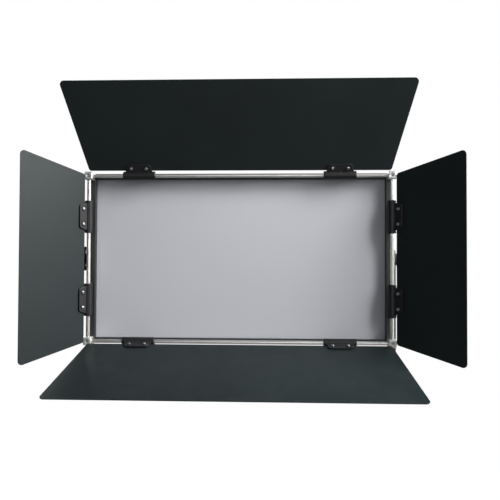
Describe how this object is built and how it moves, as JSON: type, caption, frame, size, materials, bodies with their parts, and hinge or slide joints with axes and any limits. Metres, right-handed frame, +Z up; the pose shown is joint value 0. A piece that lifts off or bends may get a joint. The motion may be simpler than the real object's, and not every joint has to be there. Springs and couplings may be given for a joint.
{
  "type": "led panel light",
  "caption": "Wide flat LED soft light with an opal diffuser, four sheet metal barn doors hinged on chromed rods, a finned back with a control pod, and a tilting yoke with a stand socket.",
  "frame": {"origin": "middle of the stand socket's mouth, under the yoke", "axes": "+Z up along the socket's axis, -Y the way the light shines at rest, +X along the panel's width"},
  "size_m": [0.8227, 0.3215, 0.6306],
  "materials": {
    "leaf_black": "fine matt black powder coat on thin aluminium sheet",
    "clip_black": "satin black glass-filled nylon",
    "rod_chrome": "bright chromed steel bar",
    "block_silver": "tumbled silver die casting",
    "bezel_black": "satin black powder coat on aluminium",
    "housing_black": "finely textured black powder coat on aluminium",
    "diffuser_opal": "unlit opal acrylic with a frosted face",
    "reflector_white": "matt white reflector sheet",
    "led_board": "white solder mask with rows of LED strips",
    "bare_aluminium": "mill finish",
    "circuit_board": "green solder mask",
    "window": "glossy black display window",
    "knob_plastic": "moulded black plastic",
    "button_rubber": "soft black rubber",
    "washer": "black friction disc",
    "socket_black": "black moulded connector body",
    "socket_metal": "dark plated metal connector shell",
    "zinc_steel": "bright zinc plate",
    "yoke_black": "black powder coat on flat steel bar",
    "switch_red": "red moulded rocker"
  },
  "bodies": {
    "yoke": {"yoke_bracket": "yoke_black", "stand_receiver": "zinc_steel", "receiver_bolt": "zinc_steel"},
    "head": {"corner_block_upper_left": "block_silver", "corner_block_lower_left": "block_silver", "corner_block_upper_right": "block_silver", "corner_block_lower_right": "block_silver", "corner_screw_upper_left": "zinc_steel", "corner_screw_lower_left": "zinc_steel", "corner_screw_upper_right": "zinc_steel", "corner_screw_lower_right": "zinc_steel", "rod_top": "rod_chrome", "rod_bottom": "rod_chrome", "rod_left": "rod_chrome", "rod_right": "rod_chrome", "front_bezel": "bezel_black", "diffuser": "diffuser_opal", "light_box": "reflector_white", "led_board": "led_board", "heat_spreader": "bare_aluminium", "housing_shell": "housing_black", "heat_sink_left": "housing_black", "heat_sink_right": "housing_black", "control_pod": "housing_black", "pod_panel": "bezel_black", "power_supply": "bare_aluminium", "control_board": "circuit_board", "display_window": "window", "power_inlet": "socket_black", "dmx_in": "socket_metal", "dmx_out": "socket_metal", "safety_eye": "zinc_steel", "side_boss_left": "zinc_steel", "side_boss_right": "zinc_steel", "friction_washer_left": "washer", "friction_washer_right": "washer"},
    "top_leaf": {"leaf_top": "leaf_black", "hinge_clip_top_left": "clip_black", "hinge_clip_top_right": "clip_black"},
    "bottom_leaf": {"leaf_bottom": "leaf_black", "hinge_clip_bottom_left": "clip_black", "hinge_clip_bottom_right": "clip_black"},
    "left_leaf": {"leaf_left": "leaf_black", "hinge_clip_left_upper": "clip_black", "hinge_clip_left_lower": "clip_black"},
    "right_leaf": {"leaf_right": "leaf_black", "hinge_clip_right_upper": "clip_black", "hinge_clip_right_lower": "clip_black"},
    "left_tilt_knob": {"tilt_knob_left": "knob_plastic", "tilt_bolt_left": "zinc_steel"},
    "right_tilt_knob": {"tilt_knob_right": "knob_plastic", "tilt_bolt_right": "zinc_steel"},
    "socket_knob": {"receiver_knob": "knob_plastic"},
    "dimmer": {"dimmer_knob": "knob_plastic"},
    "colour": {"colour_knob": "knob_plastic"},
    "menu_key": {"menu_button": "button_rubber"},
    "back_key": {"back_button": "button_rubber"},
    "mode_key": {"mode_button": "button_rubber"},
    "lock_key": {"lock_button": "button_rubber"},
    "rocker": {"power_switch": "switch_red"}
  },
  "joints": [
    {"name": "head_tilt", "type": "hinge", "parent": "yoke", "child": "head", "pos_m": [0, 0, 0.29], "axis": [1, 0, 0], "range_deg": [-90, 15]},
    {"name": "top_leaf_swing", "type": "hinge", "parent": "head", "child": "top_leaf", "pos_m": [0, -0.07, 0.4555], "axis": [1, 0, 0], "range_deg": [-37, 123]},
    {"name": "bottom_leaf_swing", "type": "hinge", "parent": "head", "child": "bottom_leaf", "pos_m": [0, -0.07, 0.1245], "axis": [-1, 0, 0], "range_deg": [-78, 82]},
    {"name": "left_leaf_swing", "type": "hinge", "parent": "head", "child": "left_leaf", "pos_m": [-0.302, -0.07, 0.29], "axis": [0, 0, -1], "range_deg": [-84, 61]},
    {"name": "right_leaf_swing", "type": "hinge", "parent": "head", "child": "right_leaf", "pos_m": [0.302, -0.07, 0.29], "axis": [0, 0, 1], "range_deg": [-97, 48]},
    {"name": "left_tilt_knob_turn", "type": "hinge", "parent": "head", "child": "left_tilt_knob", "pos_m": [-0.33, 0, 0.29], "axis": [-1, 0, 0], "range_deg": [0, 180]},
    {"name": "right_tilt_knob_turn", "type": "hinge", "parent": "head", "child": "right_tilt_knob", "pos_m": [0.33, 0, 0.29], "axis": [1, 0, 0], "range_deg": [0, 180]},
    {"name": "socket_knob_turn", "type": "hinge", "parent": "yoke", "child": "socket_knob", "pos_m": [0, 0.04, 0.022], "axis": [0, 1, 0], "range_deg": [0, 270]},
    {"name": "dimmer_turn", "type": "hinge", "parent": "head", "child": "dimmer", "pos_m": [0.084, 0.075, 0.352], "axis": [0, 1, 0], "continuous": true},
    {"name": "colour_turn", "type": "hinge", "parent": "head", "child": "colour", "pos_m": [-0.084, 0.075, 0.352], "axis": [0, 1, 0], "continuous": true},
    {"name": "menu_press", "type": "slide", "parent": "head", "child": "menu_key", "axis": [0, -1, 0], "range_m": [0, 0.0015], "stiffness_N_per_m": 400},
    {"name": "back_press", "type": "slide", "parent": "head", "child": "back_key", "axis": [0, -1, 0], "range_m": [0, 0.0015], "stiffness_N_per_m": 400},
    {"name": "mode_press", "type": "slide", "parent": "head", "child": "mode_key", "axis": [0, -1, 0], "range_m": [0, 0.0015], "stiffness_N_per_m": 400},
    {"name": "lock_press", "type": "slide", "parent": "head", "child": "lock_key", "axis": [0, -1, 0], "range_m": [0, 0.0015], "stiffness_N_per_m": 400},
    {"name": "power_rock", "type": "hinge", "parent": "head", "child": "rocker", "pos_m": [0.03, 0.0646, 0.234], "axis": [-1, 0, 0], "range_deg": [0, 18]}
  ]
}
